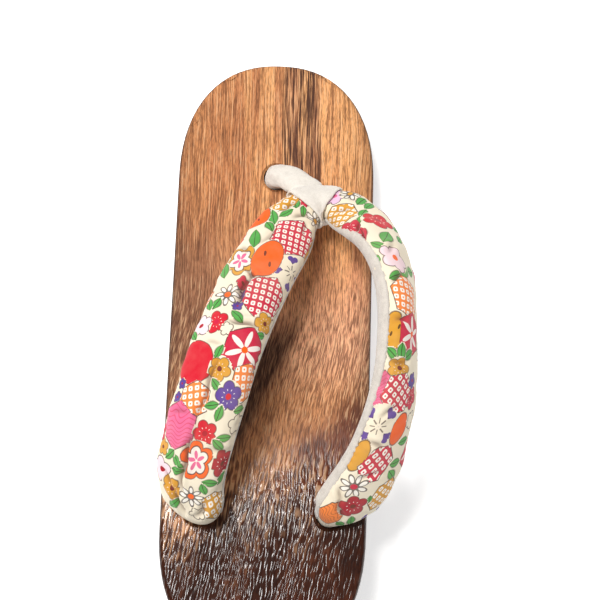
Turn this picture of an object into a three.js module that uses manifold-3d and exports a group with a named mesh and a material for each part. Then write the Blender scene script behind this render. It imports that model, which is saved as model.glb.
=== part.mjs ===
// A wooden zori: one block of brushed, scorched wood, a padded thong in printed cotton, and the velveteen toe
// loop that cinches the thong's front. Millimetres, +Z up, +Y towards the toe, +X to the wearer's right. The
// origin is on the ground under the ball of the foot, in the middle of the forefoot's flat face.
import * as THREE from "three";
import { mergeVertices } from "three/addons/utils/BufferGeometryUtils.js";
import Module from "manifold-3d";

const wasm = await Module();
wasm.setup();

// Driving sizes
const SOLE_LENGTH = 240;
const BALL_BEHIND_TOE = 70;
const TOE_TIP = BALL_BEHIND_TOE;
const HEEL_TIP = TOE_TIP - SOLE_LENGTH;
const GAP = 0.3; // left between pieces that touch
const MERGE = 1e-4; // points closer than this are one point

const OUTLINE = {
  endRound: 49, // how far each rounded end reaches along the sole
  endPower: 2.3, // 2 is an ellipse, more is blunter
  endSteps: 14,
  sideSteps: 20,
};
// Half the deck's width, by distance behind the toe tip
const SIDES = [
  { behindToe: 0, half: 39.4 },
  { behindToe: 40, half: 39.5 },
  { behindToe: 120, half: 40.1 },
  { behindToe: 200, half: 39.3 },
  { behindToe: 240, half: 39.2 },
];
const DECK = { toeHeight: 24, heelRise: 14, riseFrom: 10, riseTo: -150 };
const GROUND = {
  toeSpring: { from: 46, to: TOE_TIP, height: 8 },
  arch: { from: -35, to: -118, height: 9 },
  heelBevel: { from: -158, to: HEEL_TIP, height: 3 },
};
// The wall of the block from the ground face up to the deck: how far it sits inside the outline, and its
// height above the ground surface or below the deck
const WALL = [
  { inset: 4.8, aboveGround: 0 },
  { inset: 3.6, aboveGround: 0.5 },
  { inset: 3.0, aboveGround: 1.8 },
  { inset: 0.0, belowDeck: 3.0 },
  { inset: 0.4, belowDeck: 1.5 },
  { inset: 1.3, belowDeck: 0.4 },
  { inset: 2.8, belowDeck: 0 },
];

const HOLE = { radius: 5, countersink: 1, facets: 32, startBelow: 5 };
const KNOT_RECESS = { radius: 9 };
const TOE_HOLE = { x: 0, y: 22, recessTop: 12 };
const HEEL_HOLES = { x: 25, y: -113, recessTop: 16 };
const PLUG = { size: 9, depth: 9 }; // the thong's squeezed end, inside its hole

// Stations of the padded thong from the left heel hole, over the toe loop, to the right heel hole. rise is
// the height of its middle above the deck. tilt is how far its cloth face turns from straight up, and turn is
// where it then faces: 0 the heel, 90 the wearer's right.
const THONG = [
  { x: -25, y: -113, rise: -PLUG.depth, width: PLUG.size, thick: PLUG.size, tilt: 90, turn: -30 },
  { x: -25, y: -113, rise: -1.5, width: PLUG.size, thick: PLUG.size, tilt: 90, turn: -30 },
  { x: -25.2, y: -112.8, rise: 3, width: 11.5, thick: 10, tilt: 88, turn: -30 },
  { x: -26, y: -111.6, rise: 8, width: 21.5, thick: 12, tilt: 76, turn: -30 },
  { x: -27, y: -108.5, rise: 13.4, width: 25.5, thick: 13, tilt: 62, turn: -32 },
  { x: -27.6, y: -102.5, rise: 20.5, width: 26.5, thick: 13.5, tilt: 46, turn: -38 },
  { x: -26.2, y: -94, rise: 29, width: 27, thick: 13.5, tilt: 32, turn: -50 },
  { x: -23.6, y: -84, rise: 36, width: 27, thick: 13.5, tilt: 22, turn: -60 },
  { x: -19.6, y: -70.5, rise: 41.5, width: 26.5, thick: 13.5, tilt: 14, turn: -80 },
  { x: -15.8, y: -56, rise: 42, width: 26.5, thick: 13.5, tilt: 12, turn: -100 },
  { x: -10.4, y: -39.5, rise: 37.5, width: 26.5, thick: 13.5, tilt: 12, turn: -120 },
  { x: -4.4, y: -23.5, rise: 30.5, width: 26.5, thick: 13, tilt: 14, turn: -140 },
  { x: 2.6, y: -8.6, rise: 23, width: 25.5, thick: 12.5, tilt: 16, turn: -150 },
  { x: 9.8, y: 3, rise: 17.5, width: 18.5, thick: 11, tilt: 14, turn: -160 },
  { x: 18.8, y: 8, rise: 15.5, width: 11.5, thick: 9, tilt: 12, turn: 180 },
  { x: 28, y: 5, rise: 18.5, width: 17, thick: 11, tilt: 26, turn: 172 },
  { x: 36.2, y: -1.8, rise: 23.5, width: 20.5, thick: 12, tilt: 42, turn: 148 },
  { x: 42.4, y: -11.2, rise: 29.5, width: 23.5, thick: 12.8, tilt: 60, turn: 126 },
  { x: 46.2, y: -22.5, rise: 34.2, width: 25.5, thick: 13, tilt: 71, turn: 108 },
  { x: 48, y: -36, rise: 37.4, width: 26.5, thick: 13, tilt: 77, turn: 96 },
  { x: 48.3, y: -50, rise: 38.2, width: 26.5, thick: 13.3, tilt: 76, turn: 88 },
  { x: 48, y: -62, rise: 37.2, width: 26.5, thick: 13.5, tilt: 71, turn: 81 },
  { x: 46.4, y: -74, rise: 34, width: 26.5, thick: 13.5, tilt: 65, turn: 72 },
  { x: 43.8, y: -85, rise: 29, width: 26, thick: 13.5, tilt: 59, turn: 59 },
  { x: 40.3, y: -95.5, rise: 22.4, width: 26.5, thick: 13.5, tilt: 54, turn: 42 },
  { x: 35.4, y: -104.2, rise: 15.4, width: 26.5, thick: 13, tilt: 55, turn: 28 },
  { x: 30, y: -110.4, rise: 9, width: 24, thick: 12, tilt: 65, turn: 20 },
  { x: 25.8, y: -112.8, rise: 3, width: 11.5, thick: 10, tilt: 84, turn: 16 },
  { x: 25, y: -113, rise: -1.5, width: PLUG.size, thick: PLUG.size, tilt: 90, turn: 14 },
  { x: 25, y: -113, rise: -PLUG.depth, width: PLUG.size, thick: PLUG.size, tilt: 90, turn: 14 },
];
const THONG_RINGS = 78;
const CLOTH_SHARE = 0.58; // of the thickness, on the printed side
const PILLOW = { power: 2.3, points: 20 }; // the padded section: power 2 is an ellipse, more is squarer

// The toe loop's neck, from inside its hole up to the band, with the same columns
const NECK = [
  { x: 0, y: 22, rise: -8, width: PLUG.size, thick: PLUG.size, tilt: 90, turn: 180 },
  { x: 0, y: 22, rise: -1, width: PLUG.size, thick: PLUG.size, tilt: 90, turn: 180 },
  { x: 0.6, y: 21.9, rise: 2.6, width: 9.4, thick: 9, tilt: 80, turn: 184 },
  { x: 2, y: 21.3, rise: 5.6, width: 10.5, thick: 9, tilt: 60, turn: 190 },
  { x: 5.6, y: 19.6, rise: 9.4, width: 11, thick: 8, tilt: 42, turn: 200 },
  { x: 10.2, y: 16.2, rise: 12.6, width: 11, thick: 7, tilt: 34, turn: 200 },
  { x: 14.6, y: 12, rise: 15.6, width: 11, thick: 6, tilt: 26, turn: 195 },
];
const NECK_RINGS = 18;
const BAND = { wall: 2, fromStation: 13.3, toStation: 14.38, rings: 8 }; // counted in the thong's stations
const CORD = { radius: 2.6, facets: 20 };
const KNOT = { radius: 6.6, height: 8.6, steps: 8, openFrom: 0.87 }; // a ball, open at the top for the cord

// ---- Shapes ----

const smooth = (share) => {
  const t = Math.min(Math.max(share, 0), 1);
  return t * t * (3 - 2 * t);
};
const share = (value, from, to) => (value - from) / (to - from);
const bulge = (value, { from, to }) => Math.min(Math.max(share(value, from, to), 0), 1);

function deckHeight(y) {
  return DECK.toeHeight + DECK.heelRise * smooth(share(y, DECK.riseFrom, DECK.riseTo));
}

function groundHeight(y) {
  const { toeSpring, arch, heelBevel } = GROUND;
  return (
    toeSpring.height * bulge(y, toeSpring) ** 2 +
    arch.height * Math.sin(Math.PI * bulge(y, arch)) ** 2 +
    heelBevel.height * bulge(y, heelBevel) ** 2
  );
}

function sideHalf(behindToe) {
  const i = SIDES.findIndex((row, n) => n > 0 && behindToe <= row.behindToe + MERGE);
  const [a, b] = [SIDES[i - 1], SIDES[i]];
  return a.half + (b.half - a.half) * smooth(share(behindToe, a.behindToe, b.behindToe));
}

function endShare(fromTip) {
  const left = Math.max(1 - fromTip / OUTLINE.endRound, 0);
  return Math.max(1 - left ** OUTLINE.endPower, 0) ** (1 / OUTLINE.endPower);
}

function halfWidth(y) {
  return sideHalf(TOE_TIP - y) * endShare(TOE_TIP - y) * endShare(y - HEEL_TIP);
}

// How far along from the toe tip the outline's points sit: close together round each end
function outlineStations() {
  const { endRound, endSteps, sideSteps } = OUTLINE;
  const fromTip = Array.from(
    { length: endSteps + 1 },
    (_, i) => endRound * (1 - Math.cos(((i / endSteps) * Math.PI) / 2)),
  );
  const straight = SOLE_LENGTH - 2 * endRound;
  const sides = Array.from(
    { length: sideSteps - 1 },
    (_, i) => endRound + (straight * (i + 1)) / sideSteps,
  );
  return [...fromTip, ...sides, ...fromTip.map((d) => SOLE_LENGTH - d).reverse()];
}

// The deck's outline, toe tip first, down the right side and up the left, moved in by inset
function outline(inset) {
  const right = outlineStations().map((d) => new THREE.Vector2(halfWidth(TOE_TIP - d), TOE_TIP - d));
  const left = right.slice(1, -1).map((p) => new THREE.Vector2(-p.x, p.y));
  const points = [...right, ...left.reverse()];
  return points.map((p, i) => {
    const before = points[(i + points.length - 1) % points.length];
    const after = points[(i + 1) % points.length];
    const along = after.clone().sub(before).normalize();
    return new THREE.Vector2(p.x + along.y * inset, p.y - along.x * inset);
  });
}

function meshGeometry(points, triangles) {
  const geometry = new THREE.BufferGeometry();
  geometry.setAttribute("position", new THREE.Float32BufferAttribute(points.flatMap((p) => p.toArray()), 3));
  geometry.setIndex(triangles.flat());
  return geometry;
}

// Walls between closed rings that all have the same number of points
function ringWalls(ringCount, perRing) {
  const triangles = [];
  for (let r = 0; r + 1 < ringCount; r++) {
    for (let i = 0; i < perRing; i++) {
      const next = (i + 1) % perRing;
      const [a, b] = [r * perRing + i, r * perRing + next];
      triangles.push([a, b, b + perRing], [a, b + perRing, a + perRing]);
    }
  }
  return triangles;
}

// The block: a ring of points for each row of WALL, then the ground face and the deck, each closed by strips
// from right to left, so that every strip is flat across
function blockGeometry() {
  const rings = WALL.map((row) =>
    outline(row.inset).map((p) => {
      const z = "belowDeck" in row ? deckHeight(p.y) - row.belowDeck : groundHeight(p.y) + row.aboveGround;
      return new THREE.Vector3(p.x, p.y, z);
    }),
  );
  const perRing = rings[0].length;
  const triangles = ringWalls(rings.length, perRing).map(([a, b, c]) => [a, c, b]);
  const strips = (first, deck) => {
    for (let i = 0; i < perRing / 2; i++) {
      const [a, b] = [first + i, first + i + 1];
      const [d, c] = [first + ((perRing - i) % perRing), first + perRing - i - 1];
      const faces = [
        [a, b, c],
        [a, c, d],
      ].filter((f) => new Set(f).size === 3);
      triangles.push(...(deck ? faces.map(([p, q, r]) => [p, r, q]) : faces));
    }
  };
  strips(0, false);
  strips((rings.length - 1) * perRing, true);
  return meshGeometry(rings.flat(), triangles);
}

// A pillow-shaped section: across the strap, and out towards its printed side
function sectionRing({ centre, across, out, width, thick }, grow) {
  return Array.from({ length: PILLOW.points }, (_, i) => {
    const angle = (i / PILLOW.points) * 2 * Math.PI;
    const [c, s] = [Math.cos(angle), Math.sin(angle)];
    const squared = (v) => Math.sign(v) * Math.abs(v) ** (2 / PILLOW.power);
    const half = s > 0 ? thick * CLOTH_SHARE : thick * (1 - CLOTH_SHARE);
    return centre
      .clone()
      .addScaledVector(across, squared(c) * (width / 2 + grow))
      .addScaledVector(out, squared(s) * (half + grow) - (CLOTH_SHARE - 0.5) * thick);
  });
}

// Reads a table of stations as smooth curves, and gives the section at any share of the way along
function strapSections(stations) {
  const facing = ({ tilt, turn }) => {
    const [t, u] = [THREE.MathUtils.degToRad(tilt), THREE.MathUtils.degToRad(turn)];
    return new THREE.Vector3(Math.sin(t) * Math.sin(u), -Math.sin(t) * Math.cos(u), Math.cos(t));
  };
  const curve = (toPoint) => new THREE.CatmullRomCurve3(stations.map(toPoint), false, "catmullrom", 0.5);
  const path = curve((s) => new THREE.Vector3(s.x, s.y, deckHeight(s.y) + s.rise));
  path.curveType = "centripetal";
  const sizes = curve((s) => new THREE.Vector3(s.width, s.thick, 0));
  const faces = curve(facing);
  return (t) => {
    const tangent = path.getTangent(t);
    const out = faces.getPoint(t);
    out.addScaledVector(tangent, -out.dot(tangent)).normalize();
    const across = new THREE.Vector3().crossVectors(tangent, out);
    const size = sizes.getPoint(t);
    return { centre: path.getPoint(t), across, out, width: size.x, thick: size.y };
  };
}

function strapGeometry(sectionAt, { from = 0, to = 1, rings, grow = 0 }) {
  const skin = Array.from({ length: rings }, (_, i) =>
    sectionRing(sectionAt(from + ((to - from) * i) / (rings - 1)), grow),
  );
  const perRing = skin[0].length;
  const points = skin.flat();
  const middle = (ring) =>
    ring.reduce((sum, p) => sum.add(p), new THREE.Vector3()).divideScalar(perRing);
  const [start, end] = [points.length, points.length + 1];
  points.push(middle(skin[0]), middle(skin[rings - 1]));
  const triangles = ringWalls(rings, perRing).map(([a, b, c]) => [a, c, b]);
  for (let i = 0; i < perRing; i++) {
    const next = (i + 1) % perRing;
    const last = (rings - 1) * perRing;
    triangles.push([start, i, next], [end, last + next, last + i]);
  }
  return meshGeometry(points, triangles);
}

// ---- Booleans ----

function solid(geometry) {
  const bare = new THREE.BufferGeometry();
  bare.setAttribute("position", geometry.getAttribute("position"));
  bare.setIndex(geometry.getIndex());
  const merged = mergeVertices(bare, MERGE);
  return new wasm.Manifold(
    new wasm.Mesh({
      numProp: 3,
      vertProperties: merged.attributes.position.array,
      triVerts: new Uint32Array(merged.index.array),
    }),
  );
}

function geometryOf(manifold) {
  const mesh = manifold.getMesh();
  const geometry = new THREE.BufferGeometry();
  geometry.setAttribute("position", new THREE.BufferAttribute(new Float32Array(mesh.vertProperties), 3));
  geometry.setIndex(new THREE.BufferAttribute(new Uint32Array(mesh.triVerts), 1));
  return geometry;
}

// Turned about +Z from a profile of [radius, height] that starts and ends on the axis
function turned(profile, facets, x, y) {
  const geometry = new THREE.LatheGeometry(
    profile.map(([r, z]) => new THREE.Vector2(r, z)),
    facets,
  );
  return geometry.rotateX(Math.PI / 2).translate(x, y, 0);
}

// What the maker bores away: the hole for the thong, its countersink, and the recess for the knot below
function boring({ x, y, recessTop }) {
  const deck = deckHeight(y);
  const { radius, countersink, facets, startBelow } = HOLE;
  const profile = [
    [0, -startBelow],
    [KNOT_RECESS.radius, -startBelow],
    [KNOT_RECESS.radius, recessTop],
    [radius, recessTop],
    [radius, deck - countersink],
    [radius + 2 * countersink, deck + countersink],
    [0, deck + countersink],
  ];
  return solid(turned(profile, facets, x, y));
}

// A knot tied in the cord's end, drawn up against the recess, with the cord going up to the thong's plug
function knotGeometry({ x, y, recessTop }, plugBottom) {
  const top = recessTop - GAP;
  const middle = top - KNOT.height / 2;
  const profile = [[0, middle - KNOT.height / 2]];
  for (let i = 1; i <= KNOT.steps; i++) {
    const angle = Math.PI * ((i / KNOT.steps) * KNOT.openFrom - 0.5);
    profile.push([KNOT.radius * Math.cos(angle), middle + (KNOT.height / 2) * Math.sin(angle)]);
  }
  profile.push([CORD.radius, top], [CORD.radius, plugBottom - GAP], [0, plugBottom - GAP]);
  return turned(profile, CORD.facets, x, y);
}

// ---- The object ----

const LEFT_HOLE = { ...HEEL_HOLES, x: -HEEL_HOLES.x };
const HOLES = [TOE_HOLE, LEFT_HOLE, HEEL_HOLES];
const block = HOLES.reduce((wood, hole) => wood.subtract(boring(hole)), solid(blockGeometry()));

const thongAt = strapSections(THONG);
const neckAt = strapSections(NECK);
const stationShare = (station) => station / (THONG.length - 1);
const bandSpan = {
  from: stationShare(BAND.fromStation),
  to: stationShare(BAND.toStation),
  rings: BAND.rings,
};
const bandOuter = solid(strapGeometry(thongAt, { ...bandSpan, grow: GAP + BAND.wall }));
const neck = solid(strapGeometry(neckAt, { rings: NECK_RINGS }));
const thongWithGap = solid(strapGeometry(thongAt, { rings: THONG_RINGS, grow: GAP }));
const loop = bandOuter.add(neck).subtract(thongWithGap);

const MATERIALS = {
  wood: new THREE.MeshStandardMaterial({ color: 0x7a4a2c, roughness: 0.35, metalness: 0 }),
  print: new THREE.MeshStandardMaterial({ color: 0xefe6c4, roughness: 0.8, metalness: 0 }),
  velveteen: new THREE.MeshStandardMaterial({ color: 0xe4ddcf, roughness: 0.95, metalness: 0 }),
  cord: new THREE.MeshStandardMaterial({ color: 0xb89a6a, roughness: 0.9, metalness: 0 }),
};

const sandal = new THREE.Group();
function add(name, geometry, material) {
  const mesh = new THREE.Mesh(geometry, material);
  mesh.name = name;
  sandal.add(mesh);
}

const heelPlugBottom = deckHeight(HEEL_HOLES.y) - PLUG.depth;
const toePlugBottom = deckHeight(TOE_HOLE.y) + NECK[0].rise;
add("sole", geometryOf(block), MATERIALS.wood);
add("strap", strapGeometry(thongAt, { rings: THONG_RINGS }), MATERIALS.print);
add("toe_loop", geometryOf(loop), MATERIALS.velveteen);
add("toe_knot", knotGeometry(TOE_HOLE, toePlugBottom), MATERIALS.cord);
add("left_knot", knotGeometry(LEFT_HOLE, heelPlugBottom), MATERIALS.cord);
add("right_knot", knotGeometry(HEEL_HOLES, heelPlugBottom), MATERIALS.cord);

export default sandal;
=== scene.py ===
import math

import bmesh
import bpy
import numpy as np
from mathutils import Matrix, Vector, noise


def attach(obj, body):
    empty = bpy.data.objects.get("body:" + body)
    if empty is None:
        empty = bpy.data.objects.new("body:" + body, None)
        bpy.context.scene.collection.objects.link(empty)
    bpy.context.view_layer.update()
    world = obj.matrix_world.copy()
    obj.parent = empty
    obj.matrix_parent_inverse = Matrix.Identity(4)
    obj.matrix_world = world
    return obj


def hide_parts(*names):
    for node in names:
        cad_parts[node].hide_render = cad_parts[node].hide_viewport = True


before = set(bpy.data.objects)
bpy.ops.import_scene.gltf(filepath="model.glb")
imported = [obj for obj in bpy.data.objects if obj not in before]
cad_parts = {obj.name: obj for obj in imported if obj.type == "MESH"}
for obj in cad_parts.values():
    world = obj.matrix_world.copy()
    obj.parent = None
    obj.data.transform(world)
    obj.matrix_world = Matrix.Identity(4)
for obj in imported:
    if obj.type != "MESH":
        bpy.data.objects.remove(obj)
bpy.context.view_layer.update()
mm = 0.001


# colours are typed as on a paint card, 0 to 255, and used as light
def tint(red, green, blue):
    return tuple((c / 255) ** 2.2 for c in (red, green, blue)) + (1.0,)


def easeInOut(t):
    t = min(max(t, 0.0), 1.0)
    return t * t * (3 - 2 * t)


# camera, floor and light

view = dict(target=(11.3, -28.7, 28), elevation=80, azimuth=0.35, roll=1.55, distance=620, lens=93.8)


def placeCamera():
    e, a, r = (math.radians(view[k]) for k in ("elevation", "azimuth", "roll"))
    back = Vector((math.sin(a) * math.cos(e), -math.cos(a) * math.cos(e), math.sin(e)))
    right = (-back).cross(Vector((0, 0, 1))).normalized()
    up = right.cross(-back)
    rolledRight = right * math.cos(r) + up * math.sin(r)
    rolledUp = up * math.cos(r) - right * math.sin(r)
    data = bpy.data.cameras.new("camera")
    data.lens = view["lens"]
    data.sensor_width = 36
    data.clip_start, data.clip_end = 0.01, 50
    camera = bpy.data.objects.new("camera", data)
    bpy.context.scene.collection.objects.link(camera)
    turn = Matrix((rolledRight, rolledUp, back)).transposed().to_4x4()
    camera.matrix_world = Matrix.Translation((Vector(view["target"]) + back * view["distance"]) * mm) @ turn
    bpy.context.scene.camera = camera


skyStrength = 0.26
lampsAim = (0.01, -0.04, 0.02)
lamps = [
    dict(name="keyLight", place=(-0.3, 0.32, 1.6), size=0.3, power=15, colour=(1, 0.975, 0.94)),
    dict(name="stripLight", place=(-0.74, 0.03, 1.6), size=0.3, power=15, colour=(1, 1, 1)),
    dict(name="fillLight", place=(0.9, -0.8, 1.2), size=1.2, power=1.6, colour=(0.95, 0.97, 1)),
]


def placeLight(lamp):
    data = bpy.data.lights.new(lamp["name"], "AREA")
    data.size = lamp["size"]
    data.energy = lamp["power"]
    data.color = lamp["colour"]
    made = bpy.data.objects.new(lamp["name"], data)
    bpy.context.scene.collection.objects.link(made)
    made.location = lamp["place"]
    towards = Vector(lampsAim) - Vector(lamp["place"])
    made.rotation_euler = towards.to_track_quat("-Z", "Y").to_euler()


# shader building

class Wire:  # a socket that can be used in sums
    def __init__(self, tree, socket=None):
        self.tree, self.socket = tree, socket

    def node(self, kind, settings, sockets, out=0):
        made = self.tree.nodes.new(kind)
        for name, value in settings.items():
            if name == "stops":
                ramp = made.color_ramp.elements
                while len(ramp) < len(value):
                    ramp.new(0.5)
                for stop, (place, colour) in zip(ramp, value):
                    stop.position, stop.color = place, colour
            else:
                setattr(made, name, value)
        for key, value in sockets.items():
            if isinstance(value, Wire):
                self.tree.links.new(value.socket, made.inputs[key])
            else:
                made.inputs[key].default_value = value
        return Wire(self.tree, made.outputs[out])

    def sum(self, operation, *values):
        return self.node("ShaderNodeMath", {"operation": operation}, dict(enumerate(values)))

    def __add__(self, other): return self.sum("ADD", self, other)
    def __sub__(self, other): return self.sum("SUBTRACT", self, other)
    def __rsub__(self, other): return self.sum("SUBTRACT", other, self)
    def __mul__(self, other): return self.sum("MULTIPLY", self, other)
    def __truediv__(self, other): return self.sum("DIVIDE", self, other)
    def __rtruediv__(self, other): return self.sum("DIVIDE", other, self)
    def __pow__(self, other): return self.sum("POWER", self, other)
    def __lt__(self, other): return self.sum("LESS_THAN", self, other)
    def __gt__(self, other): return self.sum("GREATER_THAN", self, other)
    def __abs__(self): return self.sum("ABSOLUTE", self)
    __radd__, __rmul__ = __add__, __mul__

    def least(self, other): return self.sum("MINIMUM", self, other)
    def most(self, other): return self.sum("MAXIMUM", self, other)
    def sine(self): return self.sum("SINE", self)
    def cosine(self): return self.sum("COSINE", self)

    def between(self, low, high):  # 0 at low, 1 at high, eased
        settings = {"interpolation_type": "SMOOTHSTEP"}
        return self.node("ShaderNodeMapRange", settings, {0: self, 1: low, 2: high, 3: 0.0, 4: 1.0})

    def parts(self):
        return [self.node("ShaderNodeSeparateXYZ", {}, {0: self}, n) for n in range(3)]

    def point(self, x, y, z=0.0):
        return self.node("ShaderNodeCombineXYZ", {}, {0: x, 1: y, 2: z})

    def cloud(self, at, scale, detail=2.0, rough=0.5, out=0):
        sockets = {"Vector": at, "Scale": scale, "Detail": detail, "Roughness": rough}
        return self.node("ShaderNodeTexNoise", {}, sockets, out)

    def mix(self, amount, under, over):
        return self.node("ShaderNodeMix", {"data_type": "RGBA"}, {0: amount, 6: under, 7: over}, 2)

    def ramp(self, amount, stops):
        return self.node("ShaderNodeValToRGB", {"stops": stops}, {0: amount})

    def bump(self, height, distance):
        sockets = {"Height": height, "Distance": distance, "Strength": 1.0}
        return self.node("ShaderNodeBump", {}, sockets)

    def attribute(self, name, out):
        return self.node("ShaderNodeAttribute", {"attribute_name": name}, {}, out)

    def objectPoint(self, scale):  # the piece's own place, in units of scale metres
        place = self.node("ShaderNodeTexCoord", {}, {}, 3)
        return self.node("ShaderNodeVectorMath", {"operation": "SCALE"}, {0: place, "Scale": 1 / scale})


def newMaterial(name, **fixed):
    material = bpy.data.materials.new(name)
    material.use_nodes = True
    tree = material.node_tree
    surface = tree.nodes["Principled BSDF"]
    for key, value in fixed.items():
        surface.inputs[key.replace("_", " ")].default_value = value
    return material, Wire(tree), surface


def plug(wire, surface, socket):
    wire.tree.links.new(wire.socket, surface.inputs[socket])


# wood

woodLook = dict(
    toe=tint(240, 170, 110), toeRed=tint(204, 134, 88), toeLeft=tint(193, 123, 78),
    middle=tint(232, 167, 128), middleLeft=tint(128, 86, 62), amber=tint(206, 142, 96),
    low=tint(110, 60, 38), char=tint(32, 19, 17), pore=tint(66, 34, 20),
    # the pale colour for the ridge tops on the next line is a painted highlight
    streak=tint(62, 42, 42), paintedRidgeHighlight=tint(248, 206, 160), edge=tint(46, 28, 20),
    ridge=0.13, ridgeWidth=0.72, ridgeLength=4.6, hairWidth=0.38, hairLength=6.0,
    lineWidth=0.46, lineLength=17.0, slant=0.14,
)


def makeWood():
    look = woodLook
    material, w, surface = newMaterial("scorchedWood", IOR=1.5)
    surface.inputs["Specular IOR Level"].default_value = 0.3
    place = w.objectPoint(mm)
    x, y, z = place.parts()
    heelward = y.between(-62, -104)  # 0 by the ball, 1 at the heel
    toeward = y.between(-45, 5)
    slowWave = w.cloud(w.point(x * 0.03, y * 0.016, z * 0.03), 1.0, 1.0) - 0.5
    quickWave = w.cloud(w.point(x * 0.11, y * 0.1, z * 0.09), 1.0, 2.0) - 0.5
    u = x + slowWave * 7.0 + quickWave * (1 - toeward) * 1.7 - (y + 45) * (1 - toeward) * look["slant"]
    deep = z * 0.8
    width, short = look["ridgeWidth"], look["ridgeLength"]
    strokes = w.cloud(w.point(u / width, y / short, deep / 2), 1.0, 0.0)
    hairs = w.cloud(w.point(u / look["hairWidth"], y / look["hairLength"], deep / 2), 1.0, 1.0, 0.5)
    fine = w.cloud(w.point(u / (width * 0.4), y / (short * 0.6), deep), 1.0, 2.0, 0.6)
    lines = w.cloud(w.point(u / look["lineWidth"], y / look["lineLength"], deep / 2), 1.0, 2.0, 0.6)
    ridges = strokes.between(0.34, 0.66) * heelward
    ridges = ridges + hairs.between(0.36, 0.64) * (1 - heelward) * (1 - toeward)
    ridges = ridges + lines.between(0.34, 0.66) * toeward
    broad = w.cloud(w.point(u / 6.0, y / 90.0, deep / 9), 1.0, 2.0)
    patches = w.cloud(w.point(u / 13.0, y / 26.0, deep / 9), 1.0, 3.0)
    leftward = (x + (patches - 0.5) * 16).between(4, -30)

    toeColour = w.mix(broad.between(0.36, 0.6), look["toeRed"], look["toe"])
    toeColour = w.mix(leftward * 0.7, toeColour, look["toeLeft"])
    middleColour = w.mix(leftward * 0.85, look["middle"], look["middleLeft"])
    middleColour = w.mix(y.between(-48, -74) * (1 - leftward * 0.5), middleColour, look["amber"])
    lowness = (y - (x - 4) + (patches - 0.5) * 40).between(-82, -108)
    middleColour = w.mix(lowness, middleColour, look["low"])
    colour = w.mix(toeward * (1 - leftward * y.between(20, -24) * 0.75), middleColour, toeColour)
    # a band of dark growth rings right of the middle, by the toe
    band = abs(x - 9 + (broad - 0.5) * 16 + (patches - 0.5) * 8).between(9.5, 5.5) * y.between(-14, 34)
    colour = w.mix(band * lines.between(0.66, 0.4) * 0.92, colour, look["streak"])
    # the scorch: all of the heel, and in towards the sides
    scorch = (y + (patches - 0.5) * 70 + (strokes - 0.5) * 40 - x * 0.25).between(-92, -124)
    sides = (abs(x + 1) + (patches - 0.5) * 10 + toeward * 3).between(31, 42) * 0.55
    colour = w.mix(scorch.most(sides * (1 - toeward * 0.4)), colour, look["char"])
    colour = w.mix(ridges * scorch * (0.1 + patches.between(0.42, 0.6) * 0.4), colour, look["low"])
    # painted shadow of the left arm on the deck, together with a dark stain along the arm's inner edge
    beside = abs(x + 6 - (y + 65) * 0.44 + (patches - 0.5) * 5).between(9, 3)
    armShadowAndStain = beside * y.between(-32, -50) * y.between(-108, -92) * (0.95 - ridges * 0.2)
    armShadowAndStain = armShadowAndStain * z.between(14, 20)  # on the deck only
    colour = w.mix(armShadowAndStain, colour, look["char"])
    colour = w.mix(ridges.between(0.5, 0.0) * (0.62 - toeward * 0.02), colour, look["pore"])
    colour = w.mix(fine.between(0.56, 0.36) * 0.5, colour, look["pore"])
    # a painted highlight: paler ridge tops on the ball and the toe, away from the scorch and the arm's
    # painted shadow
    colour = w.mix(ridges.between(0.75, 1.0) * (1 - scorch) * (1 - armShadowAndStain) * 0.3, colour, look["paintedRidgeHighlight"])
    steep = w.node("ShaderNodeNewGeometry", {}, {}, 1).parts()[2]
    colour = w.mix(steep.between(0.92, 0.4) * 0.85, colour, look["edge"])
    plug(colour, surface, "Base Color")
    gloss = 0.74 - heelward * 0.6 + (fine - 0.5) * 0.1
    plug(gloss, surface, "Roughness")
    smooth = (x - 6).between(0, 16) * y.between(-106, -124) * 0.45  # worn down behind the right hole
    uneven = 1 - heelward * patches.between(0.6, 0.4) * 0.4
    height = ridges * (1 - toeward * 0.35) * (1 - smooth) * uneven + fine * (0.3 - heelward * 0.22)
    plug(w.bump(height, look["ridge"] * mm), surface, "Normal")
    return material


# printed cotton

inks = dict(
    cream=tint(238, 226, 202), white=tint(246, 240, 230), dark=tint(58, 42, 40), crimson=tint(200, 34, 66),
    red=tint(206, 14, 44), darkRed=tint(168, 24, 44), orange=tint(246, 96, 22), paleOrange=tint(240, 130, 60),
    ochre=tint(212, 150, 50), green=tint(80, 162, 74), purple=tint(86, 58, 144), pink=tint(226, 104, 146),
    blush=tint(244, 214, 222), lilac=tint(228, 190, 218), brown=tint(120, 52, 40),
)
kinds = ["ground", "kanoko", "plum", "daisy", "leaf", "ringed", "blob", "star", "hearts", "waves", "cherry"]
petalCounts = dict(daisy=8, star=6, hearts=4)  # the others have five


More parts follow.
